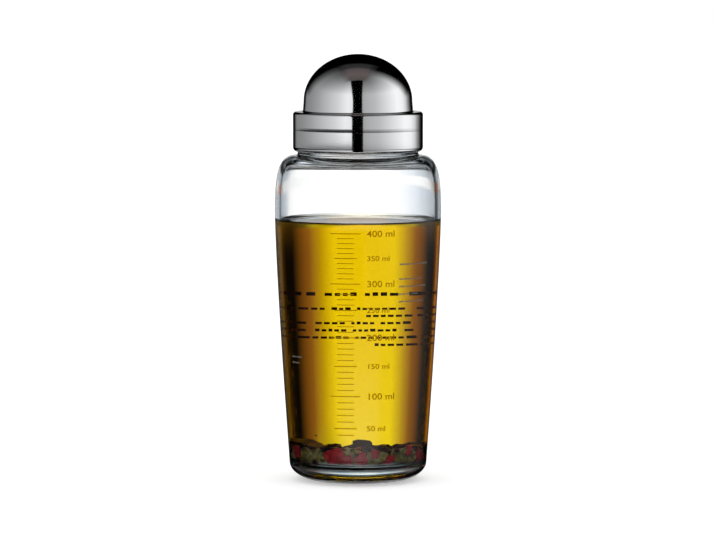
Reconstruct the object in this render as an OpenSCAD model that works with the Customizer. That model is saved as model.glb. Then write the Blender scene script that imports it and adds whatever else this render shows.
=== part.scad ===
// Salad dressing shaker: tapered glass bottle with a threaded neck, a steel-sleeved
// pouring head that screws onto it, a domed steel cap pushed over the spigot, and the dressing.
// Z points up, the bottle stands on Z = 0 and its axis is the Z axis.

/* [Bottle] */
// Height of the glass from its foot to its rim
bottle_h = 166.3; // [150:0.1:190]
// Outer radius where the heel turns into the side
heel_r = 33; // [30:0.1:36]
// Height of the rounded heel
heel_h = 8.7; // [6:0.1:12]
// How far the heel curves in to the foot ring
heel_w = 14; // [10:0.1:16]
// Outer radius of the widest ring
belly_r = 39.95; // [38:0.05:41]
// Height of the widest ring
belly_z = 127; // [120:0.5:132]
// How much the side bulges between heel and widest ring, 1 is a straight taper
side_bend = 1.25; // [1:0.05:1.5]
// Fullness of the shoulder, 2 is a plain ellipse
shoulder_full = 3.2; // [2.6:0.1:3.6]
// Thickness of the side wall
glass_t = 2.8; // [1.8:0.1:3.2]
// Thickness of the heavy base
base_t = 9.5; // [7:0.1:12]
// Inner radius between floor and side
floor_round = 4; // [3:0.1:8]
// Width of the flat foot ring
foot_w = 2; // [1:0.1:3]
// Rise of the hollow under the base
punt_h = 2.2; // [1:0.1:4]

/* [Neck] */
// Height of the neck above the shoulder
neck_h = 10; // [9.5:0.1:12]
// Outer radius of the neck between its threads
neck_r = 26.6; // [26:0.1:27]
// Thickness of the neck
neck_t = 3.2; // [2.8:0.1:3.4]
// Outer radius of the bead under the thread
bead_r = 29.1; // [28.6:0.1:29.4]
// Height of the bead above the shoulder
bead_h = 1.6; // [1.2:0.1:1.7]
// Rounding of the rim's edges
rim_round = 1; // [0.6:0.1:1.2]

/* [Thread] */
// Number of thread starts round the neck
thread_starts = 4; // [3:1:4]
// Rise of the thread in one full turn
thread_lead = 12; // [11:0.5:13]
// Arc of each ridge on the glass, in degrees
glass_ridge_arc = 80; // [60:1:84]
// Arc of each ridge in the head, in degrees
head_ridge_arc = 50; // [30:1:60]
// How far each ridge on the glass stands out
ridge_h = 1.3; // [1:0.1:1.4]
// Width of a ridge at its root
ridge_w = 1.3; // [1:0.05:1.35]
// Gap between mated flanks
flank_gap = 0.2; // [0.15:0.01:0.3]
// Gap between a crest and the facing root
crest_gap = 0.4; // [0.3:0.05:0.5]

/* [Gaskets] */
// Thickness of the gasket on the rim
gasket_t = 1.5; // [1:0.1:2]
// Width of the gasket on the rim
gasket_w = 3.1; // [2.6:0.1:3.2]
// Thickness of the ring's cord on the spigot
ring_cord = 1.7; // [1.4:0.1:2]
// Thickness of the seal in the cap
seal_t = 1.4; // [1:0.1:2]
// Width of the seal in the cap
seal_w = 3.4; // [2.8:0.1:4]

/* [Pouring head] */
// Height of the steel sleeve
sleeve_h = 10.5; // [10:0.1:11]
// Thickness of the steel sheet
steel_t = 0.8; // [0.6:0.05:0.9]
// Height of the threaded skirt inside the sleeve
skirt_h = 8.4; // [8:0.1:8.6]
// Thickness of the threaded skirt
skirt_t = 2.05; // [1.8:0.05:3]
// Thickness of the deck over the rim
deck_t = 1.6; // [1.4:0.1:2]
// How far the sleeve's lip folds in over the skirt
lip_w = 1.35; // [1.2:0.05:1.7]
// Reach of the plug below the deck
plug_h = 6.8; // [5:0.1:7.5]
// Thickness of the plug
plug_t = 2.4; // [2:0.1:2.8]
// Gap between plug and neck
plug_gap = 0.4; // [0.3:0.05:0.6]
// Height of the spigot above the deck
spigot_h = 14.6; // [13:0.1:16]
// Outer radius of the spigot at its foot
spigot_r = 22.6; // [22.2:0.1:22.8]
// Thickness of the spigot
spigot_t = 2; // [1.8:0.1:2.2]
// How far the spigot draws in below its lip
spigot_waist = 0.7; // [0.3:0.1:0.9]

/* [Strainer] */
// Rise of the strainer's crown
strainer_crown = 2.6; // [1.5:0.1:4]
// Thickness of the strainer
strainer_t = 0.6; // [0.5:0.05:0.8]
// Width of the strainer's flat rim
strainer_rim = 1.8; // [1.5:0.1:2.2]
// Radius of the strainer's holes
strainer_hole_r = 1.1; // [0.8:0.05:1.2]
// Distance between rings of holes
strainer_pitch = 3.7; // [3.2:0.05:3.8]

/* [Cap] */
// Height of the cap's band
band_h = 8.5; // [8:0.1:10]
// Height of the dome above the band
dome_h = 27.6; // [26:0.1:30]
// Gap between the dome's inside and the liner's tube
dome_gap = 0.55; // [0.4:0.05:0.9]
// Height of the curved part of the dome
dome_rise = 22.4; // [21:0.1:23]
// How much wider the dome is at the band
dome_draft = 0.4; // [0.2:0.05:0.6]
// Rounding of the band's top edge
band_round = 1.4; // [1:0.1:1.8]
// Fillet between the dome and the band
dome_fillet = 0.8; // [0.5:0.1:1.2]
// Gap of the seam between band and sleeve
seam_gap = 0.2; // [0.15:0.05:0.5]
// How far band and sleeve draw in at the seam
seam_dip = 0.1; // [0.05:0.01:0.2]
// Thickness of the liner's walls
liner_t = 1.5; // [1.3:0.05:1.6]
// Number of ribs in the liner
liner_ribs = 12; // [8:1:16]
// Gap between liner and spigot ring
liner_gap = 0.15; // [0.1:0.05:0.2]

/* [Dressing] */
// Height of the dressing's surface
fill_z = 124.5; // [60:0.5:135]
// How far the surface climbs the glass
meniscus_h = 1.6; // [0.5:0.1:2]
// Gap between the dressing and the glass
fill_gap = 0.25; // [0.2:0.05:0.4]
// Gap between the dressing and the pieces in it
piece_gap = 0.15; // [0.1:0.05:0.3]
// Distance between the rings of pieces on the floor
piece_pitch = 8; // [7.8:0.1:9]
// Length of a ring that each piece takes
piece_room = 11; // [10:0.5:14]
// Distance between the two layers of pieces
layer_h = 5.8; // [5.6:0.1:6.5]
// Height of the lower layer above the floor
layer_z = 3.4; // [3:0.1:4]
// Distance from the inside of the glass to the outer ring of pieces
piece_margin = 5.6; // [5.4:0.1:8]
// Side of a diced pepper piece
pepper_side = 5.4; // [4:0.1:5.8]
// Thickness of a pepper piece
pepper_t = 1.9; // [1.5:0.1:2.2]
// Tilt of the pepper pieces
pepper_tilt = 35; // [10:1:36]
// Side of a chopped herb leaf
leaf_side = 6; // [4:0.1:6.2]
// Thickness of a herb leaf
leaf_t = 0.9; // [0.6:0.1:1.2]
// Tilt of the herb leaves
leaf_tilt = 40; // [10:1:41]
// Radius of a peppercorn
corn_r = 2.1; // [1.6:0.1:2.3]

/* [Hidden] */

glass_color = [0.86, 0.93, 0.95, 0.4];
steel_color = [0.76, 0.77, 0.79];
plastic_color = [0.07, 0.07, 0.08];
silicone_color = [0.86, 0.86, 0.83];
dressing_color = [0.91, 0.66, 0.05, 0.8];
pepper_color = [0.66, 0.08, 0.08];
leaf_color = [0.28, 0.36, 0.14];
corn_color = [0.45, 0.42, 0.24];

facets = 120;       // sides of a full turn, all of them true curves once rebuilt
arc_step = 7;       // degrees of turn between points on a rounded corner
overlap = 0.3;      // how deep a piece of material is rooted in the one that carries it
fit_gap = 0.1;      // between pieces pressed or glued together

// Bottle, from the foot up
foot_r = heel_r - heel_w;
shoulder_top = bottle_h - neck_h;
bore_r = neck_r - neck_t;
bead_top = shoulder_top + bead_h;

// Thread: the ridge on the glass starts at ridge_z, and the head's ridge bears on its underside
ridge_crest_w = ridge_w * 0.6;
ridge_pitch = thread_lead / thread_starts;
ridge_rise = thread_lead * glass_ridge_arc / 360;
ridge_z = bottle_h - 2 - ridge_w / 2 - ridge_rise;
head_ridge_w = ridge_pitch - ridge_w - 2 * flank_gap;
head_ridge_z = ridge_z - ridge_w / 2 - flank_gap - head_ridge_w / 2;
head_ridge_from = glass_ridge_arc - head_ridge_arc;

// Head, from the rim up
deck_z = bottle_h + gasket_t;
deck_top = deck_z + deck_t;
skirt_in_r = neck_r + ridge_h + crest_gap;
skirt_out_r = skirt_in_r + skirt_t;
sleeve_r = skirt_out_r + fit_gap + steel_t;
deck_r = skirt_out_r - lip_w;
skirt_z = deck_z - skirt_h;
plug_r = bore_r - plug_gap;
sleeve_top = deck_z + steel_t;
sleeve_z = sleeve_top - sleeve_h;
spigot_in_r = spigot_r - spigot_t;
spigot_top = deck_top + spigot_h;
ledge_r = spigot_in_r - strainer_rim + 0.2;
ledge_z = deck_top + 0.6;
ring_z = deck_top + 3.6;
ring_out_r = spigot_r + 0.5;
ring_mid_r = ring_out_r - ring_cord / 2;

// Cap, from the seam up and from the liner's bore out
band_z = sleeve_top + seam_gap;
band_top = band_z + band_h;
dome_top = band_top + dome_h;
dome_z = dome_top - dome_rise;
liner_bore = ring_out_r + liner_gap;
liner_tube = liner_bore + liner_t;
dome_r = liner_tube + dome_gap + steel_t;
step_w = sleeve_r - dome_r - dome_draft;
liner_out_r = sleeve_r - steel_t - fit_gap;
liner_skirt = liner_out_r - liner_t;
liner_top = band_top - steel_t - fit_gap;
ceiling_z = spigot_top + fit_gap + seal_t;

// A closed outline from corners [x, y, round]: each is rounded by an arc that touches both its sides
function unit(v) = v / norm(v);
function turn(a) = a > 180 ? a - 360 : a < -180 ? a + 360 : a;
function corner(before, at, after, round) =
    let (u = unit(before - at), v = unit(after - at), half = acos(u * v) / 2,
         centre = at + unit(u + v) * round / sin(half),
         from = at + u * round / tan(half) - centre,
         to = at + v * round / tan(half) - centre,
         first = atan2(from.y, from.x), sweep = turn(atan2(to.y, to.x) - first),
         steps = max(3, ceil(abs(sweep) / arc_step)))
    [for (i = [0 : steps]) centre + round * [cos(first + sweep * i / steps), sin(first + sweep * i / steps)]];
function flat(p) = [p.x, p.y];
function outline(path) =
    let (n = len(path))
    [for (i = [0 : n - 1])
        each path[i][2] == 0 ? [flat(path[i])]
            : corner(flat(path[(i + n - 1) % n]), flat(path[i]), flat(path[(i + 1) % n]), path[i][2])];

// A solid of revolution from rounded corners
module lathe(path) {
    rotate_extrude($fn = facets) polygon(outline(path));
}

// Quarter of an ellipse, from [centre.x + a, centre.y] to [centre.x, centre.y + b], as outline corners
function quarter(centre, a, b, steps) =
    [for (i = [0 : steps]) [centre.x + a * cos(90 * i / steps), centre.y + b * sin(90 * i / steps), 0]];

// Radius of the side below the widest ring
function side_at(z) = belly_r - (belly_r - heel_r) * pow((belly_z - z) / (belly_z - heel_h), side_bend);

// Side and shoulder of the glass, moved in by inset, from height z up to the neck
function flank(inset, z) = concat(
    [for (i = [0 : 11])
        let (h = z + (belly_z - z) * i / 12)
        [side_at(h) - inset, h, 0]],
    [for (i = [0 : 17])
        [bead_r + (belly_r - inset - bead_r) * pow(cos(5 * i), 2 / shoulder_full),
         belly_z + (shoulder_top - inset - belly_z) * pow(sin(5 * i), 2 / shoulder_full), 0]]);

// Inside of the glass below the neck, moved in by gap, from the top of the shoulder to the floor
function cavity(gap) =
    let (inset = glass_t + gap,
         up = flank(inset, base_t + gap + 1.3 * floor_round))
    concat([for (i = [len(up) - 1 : -1 : 0]) up[i]], [
        [side_at(base_t) - inset, base_t + gap, floor_round],
        [0, base_t + gap, 0]]);

// The outside from the foot ring to the rim, then the bore and the cavity down to the floor
function glass_path() =
    concat([
        [0, punt_h, 0],
        [(foot_r - foot_w) * 0.4, punt_h, 25],
        [foot_r - foot_w, 0, 0.8],
        [foot_r, 0, 0]],
        [for (i = [1 : 8]) [foot_r + heel_w * sin(10 * i), heel_h * (1 - cos(10 * i)), 0]],
        flank(0, heel_h), [
        [bead_r, shoulder_top, bead_h / 2 - 0.1],
        [bead_r, bead_top, bead_h / 2 - 0.1],
        [neck_r, bead_top, 0.6],
        [neck_r, bottle_h, rim_round],
        [bore_r, bottle_h, rim_round],
        [bore_r, shoulder_top - glass_t, 1.5]],
        cavity(0));

// One helical ridge on a round wall: sections step along the helix and fade out at both ends
module ridge(root_r, crest_r, z, root_w, crest_w, arc) {
    steps = ceil(arc / 4);
    fade = 4;
    inward = crest_r < root_r;
    buried_r = root_r + (inward ? overlap : -overlap);
    function height(i) = 0.08 + 0.92 * min(1, i / fade, (steps - i) / fade);
    function section(i) =
        let (a = arc * i / steps, mid = z + thread_lead * a / 360,
             reach = root_r + (crest_r - root_r) * height(i),
             half = root_w / 2 + (crest_w - root_w) / 2 * height(i),
             rim = [[buried_r, -root_w / 2], [reach, -half], [reach, half], [buried_r, root_w / 2]],
             way = inward ? [for (k = [3 : -1 : 0]) rim[k]] : rim)
        [for (p = way) [p.x * cos(a), p.x * sin(a), mid + p.y]];
    points = [for (i = [0 : steps]) each section(i)];
    sides = [for (i = [0 : steps - 1], k = [0 : 3])
        let (a = 4 * i + k, b = 4 * i + (k + 1) % 4)
        each [[a, b, b + 4], [a, b + 4, a + 4]]];
    last = 4 * steps;
    ends = [[3, 2, 1], [3, 1, 0], [last, last + 1, last + 2], [last, last + 2, last + 3]];
    polyhedron(points, concat(sides, ends));
}

module glass_bottle() {
    color(glass_color) union() {
        lathe(glass_path());
        for (i = [0 : thread_starts - 1])
            rotate(360 / thread_starts * i)
                ridge(neck_r, neck_r + ridge_h, ridge_z, ridge_w, ridge_crest_w, glass_ridge_arc);
    }
}

module neck_gasket() {
    color(silicone_color)
        lathe([
            [plug_r + 0.15, bottle_h, 0.3],
            [plug_r + 0.15 + gasket_w, bottle_h, 0.3],
            [plug_r + 0.15 + gasket_w, deck_z, 0.3],
            [plug_r + 0.15, deck_z, 0.3]]);
}

// Steel sheet round the skirt: its foot curls under and its lip folds in over the deck's edge
module sleeve() {
    lip_r = deck_r + fit_gap;
    sleeve_dip_h = 1.2;
    foot_in_r = neck_r + ridge_h + 0.55;
    color(steel_color)
        lathe([
            [foot_in_r, sleeve_z, 0.3],
            [sleeve_r, sleeve_z, 2.4],
            [sleeve_r, sleeve_top - sleeve_dip_h, 6],
            [sleeve_r - seam_dip, sleeve_top, 0.25],
            [lip_r, sleeve_top, 0.2],
            [lip_r, sleeve_top - steel_t, 0.2],
            [sleeve_r - steel_t, sleeve_top - steel_t, 0],
            [sleeve_r - steel_t, sleeve_z + steel_t, 1.6],
            [foot_in_r, sleeve_z + steel_t, 0.3]]);
}

// Moulded head: skirt with thread, deck, plug in the neck, and spigot with its lip and ring groove
module pourer() {
    groove_r = ring_mid_r - ring_cord / 2 - 0.1;
    groove_half = ring_cord / 2 + 0.15;
    neck_in_r = spigot_r - spigot_waist;
    color(plastic_color) union() {
        lathe([
            [plug_r - plug_t, deck_z - plug_h, 0.4],
            [plug_r - 0.6, deck_z - plug_h, 0.6],
            [plug_r, deck_z - plug_h + 2, 0],
            [plug_r, deck_z, 0],
            [skirt_in_r, deck_z, 0.4],
            [skirt_in_r, skirt_z, 0.4],
            [skirt_out_r, skirt_z, 1.2],
            [skirt_out_r, deck_z, 0.2],
            [deck_r, deck_z, 0],
            [deck_r, deck_top, 0.3],
            [spigot_r, deck_top, 0.3],
            [spigot_r, ring_z - groove_half, 0.1],
            [groove_r, ring_z - groove_half, 0.2],
            [groove_r, ring_z + groove_half, 0.2],
            [spigot_r, ring_z + groove_half, 0.1],
            [spigot_r, ring_z + groove_half + 1, 0.4],
            [neck_in_r, ring_z + groove_half + 3, 6],
            [neck_in_r, spigot_top - 3.6, 6],
            [spigot_r + 0.1, spigot_top - 0.6, 0.3],
            [spigot_r + 0.1, spigot_top, 0.3],
            [spigot_r - 0.8, spigot_top, 0.3],
            [spigot_in_r, spigot_top - 3, 3],
            [spigot_in_r, ledge_z, 0],
            [ledge_r, ledge_z, 0],
            [ledge_r, ledge_z - 1.8, 0.2],
            [plug_r - plug_t, ledge_z - 1.8 - (plug_r - plug_t - ledge_r), 0.4]]);
        snap_bead();
        for (i = [0 : thread_starts - 1])
            rotate(360 / thread_starts * i + head_ridge_from)
                ridge(skirt_in_r, neck_r + crest_gap, head_ridge_z + thread_lead * head_ridge_from / 360,
                      head_ridge_w, head_ridge_w * 0.6, head_ridge_arc);
    }
}

// Rounded bead that keeps the strainer down on its ledge
module snap_bead() {
    bead = 0.35;
    rotate_extrude($fn = facets)
        translate([spigot_in_r + 0.05, ledge_z + strainer_t + bead + 0.1]) circle(bead, $fn = 24);
}

// Pressed steel disc with a flat rim and a round crown, pierced by rings of holes
module strainer() {
    out_r = spigot_in_r - 0.15;
    crown_r = out_r - strainer_rim;
    ball = (crown_r * crown_r + strainer_crown * strainer_crown) / (2 * strainer_crown);
    sink = ball - strainer_crown;
    rings = floor((crown_r - strainer_hole_r) / strainer_pitch);
    color(steel_color) translate([0, 0, ledge_z]) difference() {
        union() {
            cylinder(r = out_r, h = strainer_t, $fn = facets);
            intersection() {
                translate([0, 0, -sink]) sphere(ball + strainer_t, $fn = facets);
                cylinder(r = crown_r + strainer_t, h = 2 * strainer_crown, $fn = facets);
            }
        }
        translate([0, 0, -sink]) sphere(ball, $fn = facets);
        for (k = [0 : rings], i = [0 : max(1, 6 * k) - 1])
            rotate(360 / max(1, 6 * k) * i)
                translate([strainer_pitch * k, 0, -1])
                    cylinder(r = strainer_hole_r, h = strainer_crown + strainer_t + 2, $fn = 32);
    }
}

module spigot_ring() {
    color(silicone_color)
        rotate_extrude($fn = facets) translate([ring_mid_r, ring_z]) circle(d = ring_cord, $fn = 32);
}

// Outside of the cap from the dome's top down to the band's foot, moved in by inset
function cap_path(inset) =
    let (skin = quarter([0, dome_z], dome_r - inset, dome_rise - inset, 18),
         down = [for (i = [len(skin) - 1 : -1 : 0]) skin[i]])
    concat(down, [
        [dome_r + dome_draft - inset, band_top - inset, min(dome_fillet, 0.25 * step_w) + inset],
        [sleeve_r - inset, band_top - inset, max(min(band_round, 0.4 * step_w) - inset, 0.1)]]);

// Pressed from one sheet: dome, step and band, with an even wall
module cap_shell() {
    inside = cap_path(steel_t);
    band_dip_h = 1.2;
    color(steel_color)
        lathe(concat(cap_path(0), [
            [sleeve_r, band_z + band_dip_h, 6],
            [sleeve_r - seam_dip, band_z, 0.25],
            [sleeve_r - steel_t, band_z, 0.25]],
            [for (i = [len(inside) - 1 : -1 : 0]) inside[i]]));
}

// Moulded liner glued into the shell: tube over the spigot, ceiling, plate and ribbed skirt
module cap_liner() {
    top = ceiling_z + liner_t;
    color(plastic_color) union() {
        lathe([
            [0, ceiling_z, 0],
            [liner_bore, ceiling_z, 0.2],
            [liner_bore, deck_top + 0.6, 0],
            [liner_bore + 0.6, deck_top, 0],
            [liner_tube, deck_top, 0.3],
            [liner_tube, liner_top - liner_t, 0.5],
            [liner_skirt, liner_top - liner_t, 0.5],
            [liner_skirt, deck_top, 0.3],
            [liner_out_r, deck_top, 0.3],
            [liner_out_r, liner_top, 0.8],
            [liner_tube, liner_top, 0.3],
            [liner_tube, ceiling_z, 0],
            [liner_tube - 1.6, top, 0],
            [0, top, 0]]);
        for (i = [0 : liner_ribs - 1])
            rotate(360 / liner_ribs * i) liner_rib();
    }
}

module liner_rib() {
    rib_t = 1.2;
    foot = deck_top + 1;
    translate([liner_tube - overlap, -rib_t / 2, foot])
        cube([liner_skirt - liner_tube + 2 * overlap, rib_t, liner_top - liner_t + overlap - foot]);
}

module cap_seal() {
    out_r = liner_bore - 0.1;
    color(silicone_color)
        lathe([
            [out_r - seal_w, ceiling_z - seal_t, 0.3],
            [out_r, ceiling_z - seal_t, 0.3],
            [out_r, ceiling_z, 0.3],
            [out_r - seal_w, ceiling_z, 0.3]]);
}

// Everything below the dressing's surface, which climbs in a thin curve at the glass
module below_surface() {
    wall_r = belly_r - glass_t - fill_gap;
    top_r = 2 * belly_r;
    steps = 12;
    reach = 6;
    climb = [for (i = [0 : steps])
        let (d = reach * (steps - i) / steps)
        [wall_r - d, fill_z + meniscus_h * exp(-d / 1.6)]];
    rotate_extrude($fn = facets)
        polygon(concat([[0, 0], [top_r, 0], [top_r, fill_z + meniscus_h]],
                       [for (i = [steps : -1 : 0]) climb[i]], [[0, fill_z]]));
}

module dressing() {
    color(dressing_color) difference() {
        intersection() {
            lathe(concat([[0, shoulder_top - glass_t - fill_gap, 0]], cavity(fill_gap)));
            below_surface();
        }
        pepper_shapes(piece_gap);
        leaf_shapes(piece_gap);
        corn_shapes(piece_gap);
    }
}

// Places of one kind of piece: two layers of three rings, where the kinds take turns, six places to a turn.
// Each is [radius, angle, height, seed for its tilt]
floor_r = side_at(base_t) - glass_t - fill_gap - piece_margin;
function places(turns) =
    [for (layer = [0 : 1], ring = [0 : 2])
        let (r = floor_r + layer - piece_pitch * ring, count = floor(2 * PI * r / piece_room))
        each [for (i = [0 : count - 1], t = turns)
            if (i % 6 == t)
                [r, 360 / count * i + 17 * ring + 9 * layer, base_t + layer_z + layer_h * layer,
                 40 * layer + 20 * ring + i]]];

module at_places(turns, spread) {
    for (place = places(turns))
        rotate(place[1]) translate([place[0], 0, place[2]])
            rotate(rands(-spread, spread, 3, place[3])) children();
}

module pepper_shapes(grow) {
    size = [pepper_side, pepper_side * 0.8, pepper_t] + 2 * [grow, grow, grow];
    at_places([0, 2, 4], pepper_tilt) cube(size, center = true);
}

module leaf_shapes(grow) {
    at_places([1, 3], leaf_tilt) cylinder(r = leaf_side / 2 + grow, h = leaf_t + 2 * grow, center = true, $fn = 7);
}

module corn_shapes(grow) {
    at_places([5], 0) sphere(corn_r + grow, $fn = 40);
}

module pepper_pieces() {
    color(pepper_color) pepper_shapes(0);
}

module herb_leaves() {
    color(leaf_color) leaf_shapes(0);
}

module peppercorns() {
    color(corn_color) corn_shapes(0);
}

glass_bottle();
neck_gasket();
sleeve();
pourer();
strainer();
spigot_ring();
cap_shell();
cap_liner();
cap_seal();
dressing();
pepper_pieces();
herb_leaves();
peppercorns();
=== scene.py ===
import math
import random

import bmesh
import bpy
from mathutils import Matrix, Vector, noise


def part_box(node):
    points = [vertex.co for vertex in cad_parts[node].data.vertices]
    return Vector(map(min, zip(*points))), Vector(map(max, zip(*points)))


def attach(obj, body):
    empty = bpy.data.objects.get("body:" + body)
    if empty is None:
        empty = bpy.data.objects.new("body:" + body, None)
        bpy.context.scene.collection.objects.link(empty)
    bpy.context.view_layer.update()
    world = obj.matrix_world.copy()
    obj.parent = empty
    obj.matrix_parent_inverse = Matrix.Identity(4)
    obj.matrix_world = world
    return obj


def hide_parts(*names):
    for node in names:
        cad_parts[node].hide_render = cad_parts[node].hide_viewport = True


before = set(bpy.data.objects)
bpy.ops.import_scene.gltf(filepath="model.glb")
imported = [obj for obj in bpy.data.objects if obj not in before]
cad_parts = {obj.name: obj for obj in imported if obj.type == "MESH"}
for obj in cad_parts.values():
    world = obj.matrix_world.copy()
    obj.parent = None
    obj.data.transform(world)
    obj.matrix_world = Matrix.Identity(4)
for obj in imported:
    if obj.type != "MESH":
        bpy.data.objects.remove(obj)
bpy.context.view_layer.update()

MM = 0.001
TURN = 2 * math.pi
BLACK, WHITE = (0, 0, 0), (1, 1, 1)

# The bottle's outline in millimetres, as the CAD solids have it
BOTTLE_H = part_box("glass_bottle")[1].z / MM
BELLY_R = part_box("glass_bottle")[1].x / MM
HEEL_R, HEEL_H, HEEL_W = 33, 8.7, 14
BELLY_Z, SIDE_BEND, SHOULDER_FULL = 127, 1.25, 3.2
GLASS_T, BASE_T, FLOOR_ROUND = 2.8, 9.5, 4
FOOT_W, FOOT_ROUND, PUNT_H, PUNT_FLAT, PUNT_ROUND = 2, 0.8, 2.2, 0.4, 25
NECK_H, NECK_R, NECK_T, NECK_ROUND, BORE_ROUND = 10, 26.6, 3.2, 0.6, 1.5
BEAD_R, BEAD_H, RIM_ROUND = 29.1, 1.6, 1
FOOT_R = HEEL_R - HEEL_W
SHOULDER_TOP = BOTTLE_H - NECK_H
BORE_R = NECK_R - NECK_T
BEAD_TOP = SHOULDER_TOP + BEAD_H
BEAD_ROUND = BEAD_H / 2 - 0.1
HEEL_STEP, SIDE_RINGS, SHOULDER_RINGS = 3, 48, 60

# Thread on the neck
THREAD_STARTS, THREAD_LEAD, RIDGE_ARC = 4, 12, 80
RIDGE_H, RIDGE_W, RIDGE_SLOPE, RIDGE_DROP = 1.3, 1.3, 0.4, 2
RIDGE_RISE = THREAD_LEAD * RIDGE_ARC / 360
RIDGE_Z = BOTTLE_H - RIDGE_DROP - RIDGE_W / 2 - RIDGE_RISE

# Steel: the sleeve round the head and the cap's shell
STEEL_T, STEEL_SIDES, EDGE_ROUND = 0.8, 256, 0.2
SLEEVE_Z, SLEEVE_TOP = (end.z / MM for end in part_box("sleeve"))
SLEEVE_R, SLEEVE_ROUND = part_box("sleeve")[1].x / MM, 2.4
LIP_R, CURL_R, CURL_ROUND = 29.1, 28.45, 0.3
SEAM_Z, DOME_TOP = (end.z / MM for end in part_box("cap_shell"))
SEAM_GAP, SEAM_DIP, SEAM_DIP_H, SEAM_ROUND, SEAM_BLEND = 0.05, 0.03, 1.6, 0.06, 6
BAND_H, BAND_ROUND, STEP_ROUND = 8.5, 1.4, 0.8
BAND_Z, BAND_TOP = SLEEVE_TOP + SEAM_GAP, SEAM_Z + BAND_H
DOME_R, DOME_RISE, DOME_DRAFT, DOME_RINGS = 26.1, 22.4, 0.4, 60
DOME_Z = DOME_TOP - DOME_RISE

# Dressing: its surface climbs the glass, and it overlaps the inside of the glass by SOAK, so no air shows
FILL_Z, MENISCUS_H, MENISCUS_REACH = 124.8, 1.4, 1.6
MENISCUS_R, MENISCUS_RINGS, SOAK = 7, 40, 0.12

# Turned outlines: degrees between the points of a rounded corner, and the radius that counts as the axis
ARC_STEP, AXIS_R = 4, 1e-6
# Angles above which an edge stays sharp, on turned pieces and on food
SHARP, FOOD_SHARP = math.radians(32), math.radians(50)


def corner(before, at, after, radius):
    """Points of the arc that rounds one corner of an outline."""
    before, at, after = Vector(before), Vector(at), Vector(after)
    u, v = (before - at).normalized(), (after - at).normalized()
    half = u.angle(v) / 2
    centre = at + (u + v).normalized() * radius / math.sin(half)
    start = at + u * radius / math.tan(half) - centre
    sweep = -start.angle_signed(at + v * radius / math.tan(half) - centre)
    steps = max(3, math.ceil(abs(math.degrees(sweep)) / ARC_STEP))
    return [centre + Matrix.Rotation(sweep * i / steps, 2) @ start for i in range(steps + 1)]


def outline(path):
    """A closed outline from corners (r, z, rounding), in millimetres."""
    points = []
    for i, (r, z, radius) in enumerate(path):
        if radius == 0:
            points.append(Vector((r, z)))
        else:
            points += corner(path[i - 1][:2], (r, z), path[(i + 1) % len(path)][:2], radius)
    return points


def side_at(z):
    """Radius of the glass's side below its widest ring."""
    return BELLY_R - (BELLY_R - HEEL_R) * ((BELLY_Z - z) / (BELLY_Z - HEEL_H)) ** SIDE_BEND


def flank(inset, z):
    """Side and shoulder moved in by inset, from height z up to the neck."""
    heights = (z + (BELLY_Z - z) * i / SIDE_RINGS for i in range(SIDE_RINGS))
    side = [(side_at(h) - inset, h, 0) for h in heights]
    shoulder = []
    for i in range(SHOULDER_RINGS):
        angle = math.pi / 2 * i / SHOULDER_RINGS
        shoulder.append((
            BEAD_R + (BELLY_R - inset - BEAD_R) * math.cos(angle) ** (2 / SHOULDER_FULL),
            BELLY_Z + (SHOULDER_TOP - inset - BELLY_Z) * math.sin(angle) ** (2 / SHOULDER_FULL), 0))
    return side + shoulder


def cavity(gap):
    """Inside of the glass below the neck, from the shoulder down to the floor."""
    inset, floor = GLASS_T + gap, BASE_T + gap
    up = flank(inset, floor + 1.3 * FLOOR_ROUND)
    return up[::-1] + [(side_at(BASE_T) - inset, floor, FLOOR_ROUND), (0, floor, 0)]


def new_piece(name, bm):
    """A piece with the faces of bm, all turned outwards."""
    bmesh.ops.recalc_face_normals(bm, faces=bm.faces)
    mesh = bpy.data.meshes.new(name)
    bm.to_mesh(mesh)
    bm.free()
    piece = bpy.data.objects.new(name, mesh)
    bpy.context.scene.collection.objects.link(piece)
    return piece


def smooth(piece, sharp):
    """Shades a piece smooth, but for the edges above an angle."""
    piece.data.shade_smooth()
    piece.data.set_sharp_from_angle(angle=sharp)
    return piece


def lathe(name, points, sides=192):
    """A solid of revolution from a closed outline in millimetres, with round stretches smooth."""
    bm = bmesh.new()
    rings = []
    for p in points:
        if p.x < AXIS_R:
            rings.append([bm.verts.new((0, 0, p.y * MM))])
            continue
        rings.append([bm.verts.new((p.x * MM * math.cos(TURN * k / sides),
                                    p.x * MM * math.sin(TURN * k / sides), p.y * MM))
                      for k in range(sides)])
    for i, ring in enumerate(rings):
        other = rings[(i + 1) % len(rings)]
        if len(ring) == 1 and len(other) == 1:
            continue
        for k in range(sides):
            after = (k + 1) % sides
            if len(ring) == 1:
                bm.faces.new((ring[0], other[after], other[k]))
            elif len(other) == 1:
                bm.faces.new((ring[k], ring[after], other[0]))
            else:
                bm.faces.new((ring[k], ring[after], other[after], other[k]))
    return smooth(new_piece(name, bm), SHARP)


def add(piece, material, body, slot, *nodes):
    """Gives a piece its material and its place in the frame."""
    piece.data.materials.clear()
    piece.data.materials.append(material)
    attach(piece, body)
    if nodes:
        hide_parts(*nodes)


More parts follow.
